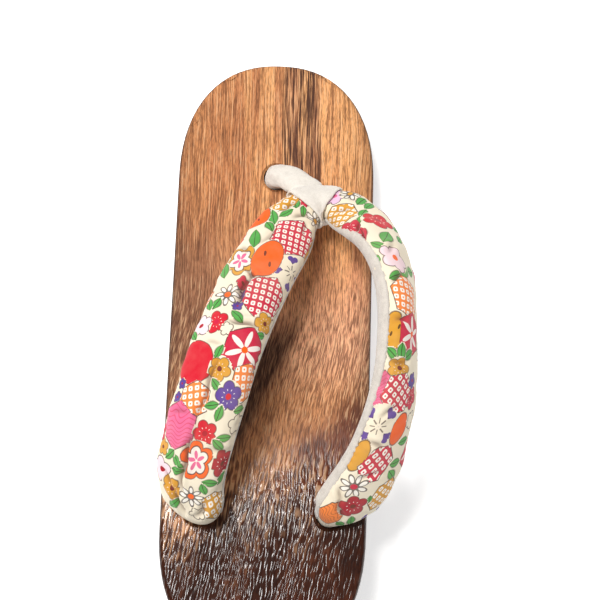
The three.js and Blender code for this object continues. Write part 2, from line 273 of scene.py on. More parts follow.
def makePrint():
    material, w, surface = newMaterial(
        "printedCotton", Roughness=0.82, Sheen_Weight=0.12, Sheen_Roughness=0.5)
    surface.inputs["Specular IOR Level"].default_value = 0.25
    cloth = w.node("ShaderNodeUVMap", {"uv_map": "cloth"}, {})
    along, across, _ = cloth.parts()
    wobble = w.cloud(w.point(along * 90, across * 90), 1.0, 2.0, out=1).parts()
    px, py, reach = w.attribute("stamp", 1).parts()
    kind, petals, _ = w.attribute("form", 1).parts()
    ink = w.attribute("ink", 0)
    second = w.attribute("second", 0)
    x = (px + (wobble[0] - 0.5) * 0.9) / reach  # a hand-drawn wobble
    y = (py + (wobble[1] - 0.5) * 0.9) / reach
    pen = 0.19 / reach  # half a pen line
    away = (x * x + y * y) ** 0.5
    angle = w.sum("ARCTAN2", y, x)
    isKind = {name: w.sum("COMPARE", kind, float(n), 0.4) for n, name in enumerate(kinds)}

    petalTurn = 2 * math.pi / petals
    offset = petalTurn * (0.5 + isKind["star"] * 0.5)
    folded = w.sum("FLOORED_MODULO", angle + offset, petalTurn) - petalTurn * 0.5
    qx, qy = away * folded.cosine(), away * folded.sine()

    def petal(middle, length, width):  # under 1 inside one petal of the ring
        return (((qx - middle) / length) ** 2.0 + (qy / width) ** 2.0) ** 0.5

    def line(shape, width):  # a pen line along a petal's edge
        return abs(shape - 1) * width < pen

    hexagon = abs(x).most(abs(x) * 0.5 + abs(y) * 0.866)
    flower = petal(0.57, 0.42, 0.41).least(away / 0.42)
    inner = petal(0.40, 0.32, 0.29).least(away / 0.3)
    strokes = petal(0.28, 0.22, 0.1)
    daisy = petal(0.62, 0.36, 0.17)
    rays = petal(0.52, 0.42, 0.13)
    heart = (((qx - 0.84) / 0.16) ** 2.0 + ((abs(qy) - 0.14) / 0.16) ** 2.0) ** 0.5
    heart = heart.least(abs(qy) / ((qx - 0.5) * 0.9).most(0.001) + (qx > 0.86) * 9)
    leaf = abs(y) / (0.46 * (1 - x * x).most(0.0001)) + (abs(x) > 1) * 9
    tilt, pitch = -0.25, 2.5  # of the dotted squares
    gx = (x * math.cos(tilt) - y * math.sin(tilt)) * reach / pitch
    gy = (x * math.sin(tilt) + y * math.cos(tilt)) * reach / pitch
    cellX = abs(w.sum("FLOORED_MODULO", gx, 1.0) - 0.5)
    cellY = abs(w.sum("FLOORED_MODULO", gy, 1.0) - 0.5)
    square = (cellX ** 4.0 + cellY ** 4.0) ** 0.25
    dot = (cellX * cellX + cellY * cellY) ** 0.5
    waves = w.sum("FLOORED_MODULO", y * 4.8 + (x * 7).sine() * 0.5 + away * 1.2, 1.0)
    stamenCount = 9
    stamens = w.sum("FLOORED_MODULO", angle * (stamenCount / (2 * math.pi)), 1.0) - 0.5
    stamenDot = ((stamens * 1.9 * away) ** 2.0 + (away - 0.42) ** 2.0) ** 0.5
    marks = ((abs(x) - 0.32) ** 2.0 + (y + x * 0.6) ** 2.0) ** 0.5
    diagonal = abs(qx - abs(qy)).least(abs(qy))
    dashes = (diagonal < 0.035) * (away > 0.16) * (away < 0.42) + (abs(away - 0.56) < 0.03) * (abs(qy) < 0.03)

    inHexagon, inFlower = hexagon < 1, flower < 1
    main = (
        isKind["kanoko"] * inHexagon * (1 - (square < 0.33) * (dot > 0.12))
        + isKind["plum"] * inFlower + isKind["ringed"] * inFlower + isKind["cherry"] * inFlower
        + isKind["daisy"] * (away < 0.24) + isKind["leaf"] * (leaf < 1) + isKind["blob"] * (away < 0.98)
        + isKind["star"] * inHexagon + isKind["hearts"] * (heart < 1) + isKind["waves"] * inHexagon
    )
    white = (
        isKind["kanoko"] * inHexagon * (square < 0.33) * (dot > 0.12) + isKind["daisy"] * (daisy < 1)
        + isKind["ringed"] * (inner < 1) + isKind["star"] * (rays < 1)
        + isKind["plum"] * (stamenDot < 0.065) * (reach > 3.6)
    )
    other = (
        isKind["ringed"] * (strokes < 1) + isKind["star"] * (away < 0.16) + isKind["cherry"] * (away < 0.2)
        + isKind["plum"] * (away < 0.2) + isKind["waves"] * (waves < 0.24) * inHexagon * 0.5
    )
    dark = (
        isKind["daisy"] * line(daisy, 0.17) * (away > 0.24) + isKind["ringed"] * line(inner, 0.29)
        + isKind["cherry"] * line(flower, 0.41) + isKind["hearts"] * dashes
        + isKind["blob"] * (marks < 0.11) * (reach > 4) * (reach < 7)
        + isKind["leaf"] * (abs(y) < pen * 0.7) * (leaf < 1)
        + (isKind["kanoko"] + isKind["star"] + isKind["waves"]) * (abs(hexagon - 1) < pen)
        + (isKind["plum"] + isKind["ringed"]) * line(flower, 0.41) * 0.75
        + isKind["leaf"] * line(leaf, 0.3) * 0.6 + isKind["blob"] * (abs(away - 0.98) < pen) * 0.8
    )
    faded = w.cloud(w.point(along * 260, across * 260), 1.0, 3.0)
    colour = w.mix(main.least(1.0) * (0.93 + faded * 0.1), inks["cream"], ink)
    colour = w.mix(white.least(1.0) * 0.92, colour, inks["white"])
    colour = w.mix(other.least(1.0), colour, second)
    colour = w.mix(dark.least(1.0) * (0.68 + faded * 0.3), colour, inks["dark"])
    worn = w.cloud(w.point(along * 30, across * 30), 1.0, 3.0)
    colour = w.mix(worn.between(0.42, 0.75) * 0.12, colour, tint(205, 180, 150))
    # painted shade: the cloth is darker inside the creases
    colour = w.mix(w.attribute("hollow", 2).between(0.15, 1.6) * 0.7, colour, tint(92, 62, 52))
    plug(colour, surface, "Base Color")
    thread = 2 * math.pi / 0.42 * 1000  # a thread every 0.42 mm
    weave = (along * thread).sine() * 0.5 + (across * thread).sine() * 0.5
    plug(w.bump(weave * 0.05 + faded * 0.5, 0.12 * mm), surface, "Normal")
    return material


def makeVelveteen(name, colour, shade):
    material, w, surface = newMaterial(name, Roughness=0.95, Sheen_Weight=0.5, Sheen_Roughness=0.4)
    surface.inputs["Specular IOR Level"].default_value = 0.15
    place = w.objectPoint(mm)
    pile = w.cloud(place, 2.4, 3.0, 0.7)
    nap = w.cloud(place, 0.35, 3.0, 0.6)
    mixed = w.mix(nap.between(0.4, 0.68) * 0.3 + pile.between(0.62, 0.4) * 0.3, colour, shade)
    plug(mixed, surface, "Base Color")
    plug(w.bump(pile * 0.7 + nap * 0.3, 0.5 * mm), surface, "Normal")
    return material


def makeHemp():
    material, w, surface = newMaterial("hempCord", Roughness=0.9)
    place = w.objectPoint(mm)
    fibre = w.cloud(place, 1.8, 4.0, 0.7)
    plug(w.ramp(fibre, [(0.3, tint(122, 94, 58)), (0.7, tint(196, 166, 118))]), surface, "Base Color")
    plug(w.bump(fibre, 0.3 * mm), surface, "Normal")
    return material


def makeFloor():
    material, _, surface = newMaterial("paleFloor", Roughness=0.9)
    surface.inputs["Base Color"].default_value = (0.97, 0.97, 0.97, 1)
    surface.inputs["Emission Color"].default_value = (1, 1, 1, 1)
    surface.inputs["Emission Strength"].default_value = 0.55
    return material


# mesh helpers

def clearSelection():
    if bpy.context.mode != "OBJECT":
        bpy.ops.object.mode_set(mode="OBJECT")
    bpy.ops.object.select_all(action="DESELECT")


def newPiece(name, points, faces, material):
    mesh = bpy.data.meshes.new(name)
    mesh.from_pydata([tuple(p) for p in points], [], [tuple(int(i) for i in f) for f in faces])
    mesh.materials.append(material)
    piece = bpy.data.objects.new(name, mesh)
    bpy.context.scene.collection.objects.link(piece)
    tidy = bmesh.new()
    tidy.from_mesh(mesh)
    bmesh.ops.recalc_face_normals(tidy, faces=tidy.faces)
    tidy.to_mesh(mesh)
    tidy.free()
    for polygon in mesh.polygons:
        polygon.use_smooth = True
    return piece


def tubeFaces(rings, around):  # quads between closed rings
    first = np.arange(rings - 1)[:, None] * around + np.arange(around)[None, :]
    after = np.arange(rings - 1)[:, None] * around + (np.arange(around)[None, :] + 1) % around
    return np.stack([first, after, after + around, first + around], -1).reshape(-1, 4)


def hoopFaces(rings, around):  # the same, with the last ring joined to the first
    here, after = np.arange(around), (np.arange(around) + 1) % around
    last = (rings - 1) * around
    return np.concatenate([tubeFaces(rings, around), np.stack([last + here, last + after, after, here], 1)])


def loft(name, rings, material):  # closed rings of points, capped at both ends
    count, around = rings.shape[:2]
    points = np.concatenate([rings.reshape(-1, 3), rings[0].mean(0)[None], rings[-1].mean(0)[None]])
    faces = [tuple(f) for f in tubeFaces(count, around)]
    start, end, last = count * around, count * around + 1, (count - 1) * around
    for i in range(around):
        j = (i + 1) % around
        faces += [(start, j, i), (end, last + i, last + j)]
    return newPiece(name, points, faces, material)


def joinInto(piece, extra):
    clearSelection()
    piece.select_set(True)
    extra.select_set(True)
    bpy.context.view_layer.objects.active = piece
    bpy.ops.object.join()


# the thong's path and section, in mm

thong = dict(
    stations=[  # x, y, rise above the deck, width, thickness, tilt and turn of the printed face
        (-25, -113, -9, 9, 9, 90, -30), (-25, -113, -1.5, 9, 9, 90, -30),
        (-25.2, -112.8, 3, 11.5, 10, 88, -30), (-26, -111.6, 8, 21.5, 12, 76, -30),
        (-27, -108.5, 13.4, 25.5, 13, 62, -32),
        (-27.6, -102.5, 20.5, 26.5, 13.5, 46, -38), (-26.2, -94, 29, 27, 13.5, 32, -50),
        (-23.6, -84, 36, 27, 13.5, 22, -60), (-19.6, -70.5, 41.5, 26.5, 13.5, 14, -80),
        (-15.8, -56, 42, 26.5, 13.5, 12, -100), (-10.4, -39.5, 37.5, 26.5, 13.5, 12, -120),
        (-4.4, -23.5, 30.5, 26.5, 13, 14, -140), (2.6, -8.6, 23, 25.5, 12.5, 16, -150),
        (9.8, 3, 17.5, 18.5, 11, 14, -160), (18.8, 8, 15.5, 11.5, 9, 12, 180), (28, 5, 18.5, 17, 11, 26, 172),
        (36.2, -1.8, 23.5, 20.5, 12, 42, 148), (42.4, -11.2, 29.5, 23.5, 12.8, 60, 126),
        (46.2, -22.5, 34.2, 25.5, 13, 71, 108), (48, -36, 37.4, 26.5, 13, 77, 96),
        (48.3, -50, 38.2, 26.5, 13.3, 76, 88), (48, -62, 37.2, 26.5, 13.5, 71, 81),
        (46.4, -74, 34, 26.5, 13.5, 65, 72), (43.8, -85, 29, 26, 13.5, 59, 59),
        (40.3, -95.5, 22.4, 26.5, 13.5, 54, 42), (35.4, -104.2, 15.4, 26.5, 13, 55, 28),
        (30, -110.4, 9, 24, 12, 65, 20), (25.8, -112.8, 3, 11.5, 10, 84, 16),
        (25, -113, -1.5, 9, 9, 90, 14), (25, -113, -9, 9, 9, 90, 14),
    ],
    apex=14, clothShare=0.58, pillow=2.3, step=0.42, around=144, seamAngle=-10,
    rightSeam=[(0, 3), (30, 3), (42, -2), (112, -2), (124, 7), (140, 14), (160, 14)],
)
padding = dict(
    lump=0.75, lumpSize=9.0, dimple=0.2, dimpleSize=3.6, seamAt=16.6, seamWidth=1.6, seamSink=0.3,
    pucker=0.22, puckerPitch=4.3, creaseStrength=2.2, deepestShade=2,
    evenAtLoop=6, evenAtHole=14, easing=8,  # held tight, and so even, at both ends
)
liningSize = dict(points=44, raised=1.0, sunk=0.6, hiddenAtLoop=8, hiddenAtHole=14)
neck = dict(
    stations=[
        (0, 22, -8, 9, 9, 90, 180), (0, 22, -1, 9, 9, 90, 180), (0.6, 21.9, 2.6, 9.4, 9, 80, 184),
        (2, 21.3, 5.6, 10.5, 9, 60, 190), (5.6, 19.6, 9.4, 11, 8, 42, 200),
        (10.2, 16.2, 12.6, 11, 7, 34, 200), (14.6, 12, 15.6, 11, 6, 26, 195),
    ],
)
soleSize = dict(
    length=240, toeTip=70, endReach=49, halfWidth=39.4, belly=0.7,
    toeHeight=24, heelRise=14, riseFrom=10, riseTo=-150, springFrom=46, springHeight=8,
    archFrom=-35, archTo=-118, archHeight=9, bevelFrom=-158, bevelHeight=3,
    taper=3.0, topRound=2.6, bottomRound=1.6, sharpAngle=35,
    cornerSteps=18, cornerRound=0.547, stations=26, extraCuts=(-163, -158, 46, 52, 58, 64),
    holes=[(0, 22, 12), (-25, -113, 16), (25, -113, 16)],  # x, y and the top of the recess
    holeRadius=5, recessRadius=9, countersink=1.6, holeSides=64,
)


def deckHeight(y):
    s = soleSize
    return s["toeHeight"] + s["heelRise"] * easeInOut((y - s["riseFrom"]) / (s["riseTo"] - s["riseFrom"]))


def groundHeight(y):
    s = soleSize
    spring = min(max((y - s["springFrom"]) / (s["toeTip"] - s["springFrom"]), 0), 1)
    arch = min(max((y - s["archFrom"]) / (s["archTo"] - s["archFrom"]), 0), 1)
    bevel = min(max((y - s["bevelFrom"]) / (s["toeTip"] - s["length"] - s["bevelFrom"]), 0), 1)
    return (
        s["springHeight"] * spring ** 2 + s["archHeight"] * math.sin(math.pi * arch) ** 2
        + s["bevelHeight"] * bevel ** 2
    )


class Strap:  # a smooth run through a table of stations
    def __init__(self, stations):
        self.path = [np.array([r[0], r[1], deckHeight(r[1]) + r[2]], float) for r in stations]
        self.size = [np.array([r[3], r[4]], float) for r in stations]
        self.facing = []
        for row in stations:
            tilt, turn = math.radians(row[5]), math.radians(row[6])
            out = (math.sin(tilt) * math.sin(turn), -math.sin(tilt) * math.cos(turn), math.cos(tilt))
            self.facing.append(np.array(out))
        self.shares = np.linspace(0, 1, 1600)
        line = np.array([self.through(self.path, t, False) for t in self.shares])
        self.lengths = np.concatenate([[0], np.cumsum(np.linalg.norm(np.diff(line, axis=0), axis=1))])

    def through(self, rows, t, even):
        place = (len(rows) - 1) * min(max(t, 0), 1)
        i = min(int(place), len(rows) - 2)
        w = place - i
        b, c = rows[i], rows[i + 1]
        a = rows[i - 1] if i > 0 else 2 * b - c
        d = rows[i + 2] if i + 2 < len(rows) else 2 * c - b
        if even:
            start, end = (c - a) / 2, (d - b) / 2
        else:
            ab, bc, cd = (np.linalg.norm(q - p) ** 0.5 for p, q in ((a, b), (b, c), (c, d)))
            bc = bc if bc > 1e-4 else 1
            ab, cd = (gap if gap > 1e-4 else bc for gap in (ab, cd))
            start = ((b - a) / ab - (c - a) / (ab + bc) + (c - b) / bc) * bc
            end = ((c - b) / bc - (d - b) / (bc + cd) + (d - c) / cd) * bc
        return b + start * w + (3 * (c - b) - 2 * start - end) * w ** 2 + (2 * (b - c) + start + end) * w ** 3

    def shareAt(self, length):
        return float(np.interp(length, self.lengths, self.shares))

    def ring(self, t, angles, grow=0.0):  # points of the padded section
        before, after = (self.through(self.path, min(max(t + e, 0), 1), False) for e in (-1e-4, 1e-4))
        along = (after - before) / np.linalg.norm(after - before)
        out = self.through(self.facing, t, True)
        out = out - along * (out @ along)
        out /= np.linalg.norm(out)
        across = np.cross(along, out)
        width, thick = self.through(self.size, t, True)
        c, s = np.cos(angles), np.sin(angles)
        bend = 2 / thong["pillow"]
        acrossBy = np.sign(c) * np.abs(c) ** bend * (width / 2 + grow)
        half = np.where(s > 0, thick * thong["clothShare"], thick * (1 - thong["clothShare"])) + grow
        outBy = np.sign(s) * np.abs(s) ** bend * half - (thong["clothShare"] - 0.5) * thick
        centre = self.through(self.path, t, False)
        return centre + acrossBy[:, None] * across + outBy[:, None] * out


strapRun = Strap(thong["stations"])
neckRun = Strap(neck["stations"])
apexLength = float(np.interp(thong["apex"] / (len(thong["stations"]) - 1), strapRun.shares, strapRun.lengths))
print("measured the thong: %.0f mm from hole to hole" % strapRun.lengths[-1])

# where each printed figure sits
# kind, along from the loop, across from the middle, reach, tallness, turn, ink, second ink
# one ink stands for both, and no ink means green
leftFigures = [
    ("daisy", 9.5, -8.5, 5, 1, 10, "ochre"), ("plum", 8, 1, 3, 1, 0, "crimson", "brown"),
    ("leaf", 11.3, -2.4, 2.8, 1, -45), ("leaf", 11.2, 1.9, 3, 1.2, -45),
    ("kanoko", 12, 7.5, 5.6, 1, 20, "ochre"), ("leaf", 17.2, 1.7, 3.2, 1, 63),
    ("leaf", 21, 5, 4.2, 1, -56), ("leaf", 26, 4.2, 3, 1.3, -40), ("blob", 22, 12.6, 6.2, 1, 0, "orange"),
    ("blob", 24, -18, 4.4, 1.8, 0, "ochre"), ("kanoko", 26.6, -6.8, 8.3, 1.05, 4, "crimson"),
    ("leaf", 34, 6.2, 5.3, 0.9, 112), ("hearts", 42.5, -13.4, 7.4, 1, 20, "purple"),
    ("ringed", 45.4, 7.2, 6.6, 1.25, 30, "ochre", "pink"), ("blob", 42, -2.5, 5.6, 1.72, 0, "orange"),
    ("leaf", 50.5, 12, 4.8, 0.9, -66), ("kanoko", 59, -8.4, 8.2, 1.08, -5, "crimson"),
    ("plum", 56, 1.6, 2.7, 1, 0, "crimson", "brown"), ("blob", 61.5, 0.4, 1.6, 2, 0, "purple"),
    ("plum", 66.3, -0.2, 2.3, 1, 0, "purple", "darkRed"), ("daisy", 62.5, 5.2, 4.9, 1, 8, "orange"),
    ("leaf", 67.2, 7.8, 2.9, 1.3, 80), ("leaf", 67.4, 11.2, 3.3, 1, -61),
    ("leaf", 70.6, -1.9, 3.4, 1, -30), ("plum", 69, -12.7, 4.6, 1, 20, "ochre", "brown"),
    ("leaf", 74, -13.2, 3, 1, 30), ("plum", 74.7, 4.7, 4.7, 1, 10, "red", "crimson"),
    ("cherry", 76.6, 11.2, 4.8, 1, 0, "blush", "darkRed"), ("leaf", 80.5, 12.8, 3, 1, -40),
    ("cherry", 76.7, -0.1, 2.6, 1, 0, "cream"), ("star", 81.8, -9.2, 7.7, 1, 0, "crimson", "orange"),
    ("leaf", 85, -0.4, 3, 1, 80), ("blob", 90.2, 8.2, 8, 1, 10, "red"),
    ("plum", 90.6, -2.6, 4.3, 1, 30, "ochre", "brown"),
    ("kanoko", 92, -13.5, 5.4, 1.1, 0, "paleOrange", "orange"), ("leaf", 95.6, -3.1, 2.8, 1, -37),
    ("kanoko", 102, 3, 5.6, 1, 10, "paleOrange", "orange"),
    ("plum", 97.8, -8.6, 4.8, 1, 0, "purple", "red"), ("leaf", 100.6, -14.6, 2.7, 1.2, 20),
    ("leaf", 103.4, -7.5, 2.9, 1.1, 88), ("leaf", 101.8, -4.1, 2.7, 1.1, 25),
    ("plum", 98.5, 10.6, 2.1, 1, 0, "purple", "darkRed"),
    ("plum", 103.4, 10.4, 2.1, 1, 0, "purple", "darkRed"),
    ("waves", 112.4, 6.4, 7, 1.1, 8, "pink", "crimson"), ("cherry", 105.4, -15.8, 3.8, 1, 0, "cream"),
    ("plum", 111.3, -4.9, 4.7, 1, 15, "red", "darkRed"), ("leaf", 111, -12.2, 3.1, 1, 15),
    ("leaf", 113.9, -10.8, 3, 1.1, -30), ("plum", 120.4, -14.9, 5.4, 1, 5, "darkRed", "brown"),
    ("ringed", 121.2, -4.6, 6.2, 1.2, 0, "orange", "pink"), ("leaf", 124.6, 2.6, 3.2, 1.1, -40),
    ("leaf", 127.8, 2, 2.6, 1.2, 0), ("leaf", 123.2, 6.4, 2.9, 1.2, 55),
    ("leaf", 127, -15.8, 3.2, 1.2, 60), ("leaf", 128.2, -11.4, 3.2, 1.1, -5),
    ("leaf", 131.6, -9.2, 3, 1.1, 110), ("plum", 122.6, 10.8, 3.2, 1, 0, "ochre", "brown"),
    ("cherry", 130.8, 9, 4.9, 1, 0, "blush", "darkRed"),
    ("plum", 135.6, 3.3, 4.4, 1.15, 30, "ochre", "brown"), ("daisy", 136.3, -4.8, 4.9, 1, 0, "orange"),
    ("kanoko", 141.2, -13.4, 4.6, 1.5, 0, "ochre"), ("leaf", 142.8, 3.4, 3.7, 1, 48),
    ("cherry", 144.4, -6.4, 3.1, 1, 0, "cream"), ("plum", 33, 15.5, 4, 1, 0, "red", "brown"),
    ("kanoko", 64, 17, 5, 1, 0, "paleOrange", "orange"),
    ("plum", 118, 15.5, 4.4, 1, 0, "crimson", "brown"),
]
rightFigures = [
    ("cherry", 5.4, 1, 4.6, 1, 0, "lilac", "pink"), ("daisy", 9.8, 4.6, 4, 1, 0, "ochre"),
    ("kanoko", 13, -8, 5.8, 1.25, -20, "ochre"), ("leaf", 15.2, 2.8, 3.2, 1.2, -10),
    ("leaf", 18.4, 3, 3.6, 0.9, -15), ("leaf", 21.2, -3.2, 3.4, 1.1, -25),
    ("leaf", 24, -7, 2.9, 1.1, -40), ("leaf", 33.4, -14.4, 5.2, 0.9, -61, "crimson"),
    ("plum", 24.2, -13.4, 4.9, 1.15, 0, "crimson", "darkRed"),
    ("plum", 27.9, -2.6, 6.2, 0.95, -30, "red", "darkRed"), ("leaf", 38.6, -7.7, 5.2, 1, -42),
    ("leaf", 42.6, -13.8, 3.3, 1.1, 60), ("leaf", 37.6, 0.4, 3.4, 0.9, -36),
    ("leaf", 32, 3.4, 2.4, 1, -30), ("leaf", 48, -17, 2, 1.2, 90), ("leaf", 53.4, -7.4, 5.4, 0.9, -28),
    ("leaf", 56.4, -13.2, 3.2, 1, -25), ("leaf", 50.4, 0, 4, 1, -20),
    ("cherry", 48.8, -10.2, 6, 1, 10, "blush", "orange"),
    ("kanoko", 63.4, -8.2, 7.3, 1, -10, "paleOrange", "orange"),
    ("blob", 76, -15.2, 4.3, 1.5, 0, "ochre"), ("star", 76, -6.4, 7, 0.98, 0, "crimson", "orange"),
    ("leaf", 83.8, -15.3, 3.1, 1.1, 40), ("leaf", 83.4, -7.8, 3.2, 1.1, -35),
    ("leaf", 83, -11.7, 3.2, 1.3, 90), ("plum", 88, -11.6, 5.2, 0.66, 0, "ochre", "brown"),
    ("waves", 95.4, -17, 4.8, 1.15, 0, "pink", "crimson"),
    ("plum", 96.8, -1, 4.2, 1, 0, "crimson", "brown"), ("kanoko", 96, -9.2, 6.4, 1, 15, "crimson"),
    ("plum", 91, -2.6, 2.8, 1, 0, "purple", "darkRed"), ("hearts", 107.2, -12.8, 7.2, 1, 35, "purple"),
    ("blob", 107.6, -3, 3.9, 1.5, 0, "orange"), ("leaf", 112, 3.2, 3, 1.2, -15),
    ("cherry", 104.4, 3.8, 3.4, 1, 0, "cream"), ("blob", 119.6, -14.3, 3.5, 1.95, 0, "ochre"),
    ("leaf", 120.4, 3.4, 3, 1.2, -10), ("kanoko", 121, -6, 5.6, 1.3, 15, "crimson"),
    ("leaf", 124.8, 4.4, 3.2, 1.1, 30), ("daisy", 131.4, -9, 5.4, 1, 0, "crimson"),
    ("kanoko", 133.2, 6.2, 5.1, 1.3, 0, "ochre"), ("leaf", 135.2, 0.6, 1.9, 1.2, 60),
    ("waves", 147, -8.4, 4.5, 1.35, 20, "paleOrange", "brown"),
    ("plum", 140.1, -3.6, 5.6, 1, 20, "darkRed", "brown"), ("leaf", 147, 1.8, 3.5, 1, 45),
    ("leaf", 149.6, -1.2, 3, 1, 20), ("kanoko", 24, 12, 6, 1, 0, "crimson"),
    ("plum", 38, 9, 4.6, 1, 0, "ochre", "brown"), ("waves", 51, 11, 6, 1, 0, "pink", "crimson"),
    ("ringed", 67, 8, 6.2, 1, 0, "orange", "pink"), ("daisy", 80, 6, 4.9, 1, 0, "orange"),
    ("kanoko", 91, 11, 6, 1, 0, "paleOrange", "orange"), ("plum", 104, 13, 4.8, 1, 0, "red", "darkRed"),
    ("star", 117, 13, 6.4, 1, 0, "crimson", "orange"), ("hearts", 145, 12, 5.4, 1, 0, "purple"),
]

# along, across, direction, half length, width and depth of the creases pressed into the padding
leftCreases = [
    (58, 0.4, 90, 9, 1.1, 1.1), (98, -0.2, 90, 14, 0.9, 0.9), (124, -0.3, 90, 16, 1.0, 1.0),
    (141, 0.8, 100, 8, 1.2, 0.8), (72.5, -5, 4, 7, 1.0, 0.8), (51, 0.5, -20, 5, 0.9, 0.6),
    (12, -4, 70, 7, 1.3, 0.7), (11, 4, 100, 6, 1.3, 0.7), (30, 2, 80, 7, 1.4, 0.5),
    (39, 9, -25, 5, 1.3, 0.5), (82, 3, 10, 5, 1.2, 0.4), (108, 7, 25, 5, 1.2, 0.4),
    (116, -12, -20, 5, 1.2, 0.4), (133, 6, -40, 5, 1.2, 0.5), (20, -9, 110, 5, 1.2, 0.4),
    (143, -8, 60, 6, 1.3, 0.6),
]
rightCreases = [
    (10, -5, 75, 7, 1.3, 0.7), (9, 3, 100, 6, 1.2, 0.6), (27, -11, -40, 6, 1.0, 0.8),
    (33, -14, -55, 5, 0.9, 0.6), (57, -12, -20, 5, 0.9, 0.6), (44, -9, -30, 5, 1.1, 0.4),
    (72, -13, -20, 4, 1.0, 0.5), (86, -12, 0, 6, 1.0, 0.5), (102, -10, -30, 5, 1.1, 0.4),
    (114, -10, 20, 5, 1.1, 0.5), (126, -6, -25, 6, 1.2, 0.4), (144, -6, 40, 6, 1.1, 0.6),
    (138, -11, 60, 5, 1.1, 0.5), (92, -16, 80, 5, 1.0, 0.4),
]


def creaseDepth(along, across, creases):  # soft troughs with a low ridge beside them
    depth = np.zeros_like(along)
    for s, a, direction, half, width, deep in creases:
        deep = deep * padding["creaseStrength"]
        c, d = math.cos(math.radians(direction)), math.sin(math.radians(direction))
        ahead = (across - a) * c + (along - s) * d
        aside = -(across - a) * d + (along - s) * c
        aside = aside + 0.5 * np.sin(ahead * 0.55 + s)
        taper = np.clip(1 - (ahead / half) ** 2, 0, 1)
        depth -= deep * taper * np.exp(-((aside / width) ** 2))
        depth += 0.4 * deep * taper * np.exp(-(((np.abs(aside) - 2.0 * width) / width) ** 2))
    return depth


def unevenness(points, scale, seed):  # gentle, the same on every run
    return np.array([noise.noise(Vector(p) / scale + Vector((seed, seed, seed))) for p in points])


def ringNormals(rings):
    around = np.roll(rings, -1, 1) - np.roll(rings, 1, 1)
    forward = np.gradient(rings, axis=0)
    normal = np.cross(around, forward)
    normal /= np.linalg.norm(normal, axis=2)[..., None] + 1e-12
    out = rings - rings.mean(1)[:, None]
    return np.where((normal * out).sum(2)[..., None] < 0, -normal, normal)


def stampFigures(piece, along, across, figures):  # which figure each face carries, and its place in it
    mesh = piece.data
    nFaces = len(mesh.polygons)
    kindOf, petals = np.zeros(nFaces), np.full(nFaces, 5.0)
    ink, second = np.tile(inks["cream"], (nFaces, 1)), np.tile(inks["cream"], (nFaces, 1))
    loopVertex = np.zeros(len(mesh.loops), int)
    mesh.loops.foreach_get("vertex_index", loopVertex)
    starts, totals = np.zeros(nFaces, int), np.zeros(nFaces, int)
    mesh.polygons.foreach_get("loop_start", starts)
    mesh.polygons.foreach_get("loop_total", totals)
    faceOfLoop = np.repeat(np.arange(nFaces), totals)
    s = np.append(along.ravel(), [along.min(), along.max()])[loopVertex]
    a = np.append(across.ravel(), [0, 0])[loopVertex]
    # the strip is cut at the middle of the back, so a face that spans the cut takes one side's values
    aFirst = a[starts][faceOfLoop]
    wrap = across.max(1).mean() * 2
    a = np.where(a - aFirst > 20, a - wrap, np.where(a - aFirst < -20, a + wrap, a))
    sMid = np.add.reduceat(s, starts) / totals
    aMid = np.add.reduceat(a, starts) / totals
    local = np.stack([a * 0, s * 0, a * 0 + 1], 1)
    for kind, s0, a0, reach, tall, turn, *printed in figures:
        printed = printed or ["green"]
        main, other = printed[0], printed[-1]
        c, d = math.cos(math.radians(turn)), math.sin(math.radians(turn))

        def turned(sv, av):
            da, ds = av - a0, sv - s0
            return da * c + ds * d, (-da * d + ds * c) / tall

        x, y = turned(sMid, aMid)
        if kind in ("kanoko", "star", "waves"):
            far = np.maximum(np.abs(x), 0.5 * np.abs(x) + 0.866 * np.abs(y))
        elif kind == "leaf":
            far = np.hypot(x, y / 0.52)
        elif kind == "hearts":
            far = np.hypot(x, y) / 1.05
        else:
            far = np.hypot(x, y)
        inside = (far < reach + 0.05) | ((far < reach + 0.4) & (kindOf == 0))
        kindOf[inside] = kinds.index(kind)
        petals[inside] = petalCounts.get(kind, 5)
        ink[inside], second[inside] = inks[main], inks[other]
        mine = inside[faceOfLoop]
        x, y = turned(s[mine], a[mine])
        local[mine] = np.stack([x, y, np.full(len(x), reach)], 1)

    def attribute(name, kindName, domain, field, values):
        layer = mesh.attributes.new(name, kindName, domain)
        layer.data.foreach_set(field, np.asarray(values, np.float32).ravel())

    attribute("stamp", "FLOAT_VECTOR", "CORNER", "vector", local)
    attribute("form", "FLOAT_VECTOR", "FACE", "vector", np.stack([kindOf, petals, kindOf * 0], 1))
    for name, values in (("ink", ink), ("second", second)):
        layer = mesh.attributes.new(name, "FLOAT_COLOR", "CORNER")
        layer.data.foreach_set("color", np.asarray(values[faceOfLoop], np.float32).ravel())
    flat = mesh.uv_layers.new(name="cloth")
    flat.data.foreach_set("uv", np.stack([s * mm, a * mm], 1).astype(np.float32).ravel())
    # a second map lays the strip in four columns, for baking
    baked = mesh.uv_layers.new(name="OFBake")
    columns = 4
    longest, widest = s.max() + 1, np.abs(a).max() + 1
    column = np.clip((sMid / longest * columns).astype(int), 0, columns - 1)[faceOfLoop]
    u = (column + 0.5 + a / (2 * widest) * 0.94) / columns
    v = 0.03 + 0.94 * (s / longest * columns - column)
    baked.data.foreach_set("uv", np.stack([u, v], 1).astype(np.float32).ravel())
    mesh.uv_layers["cloth"].active_render = True


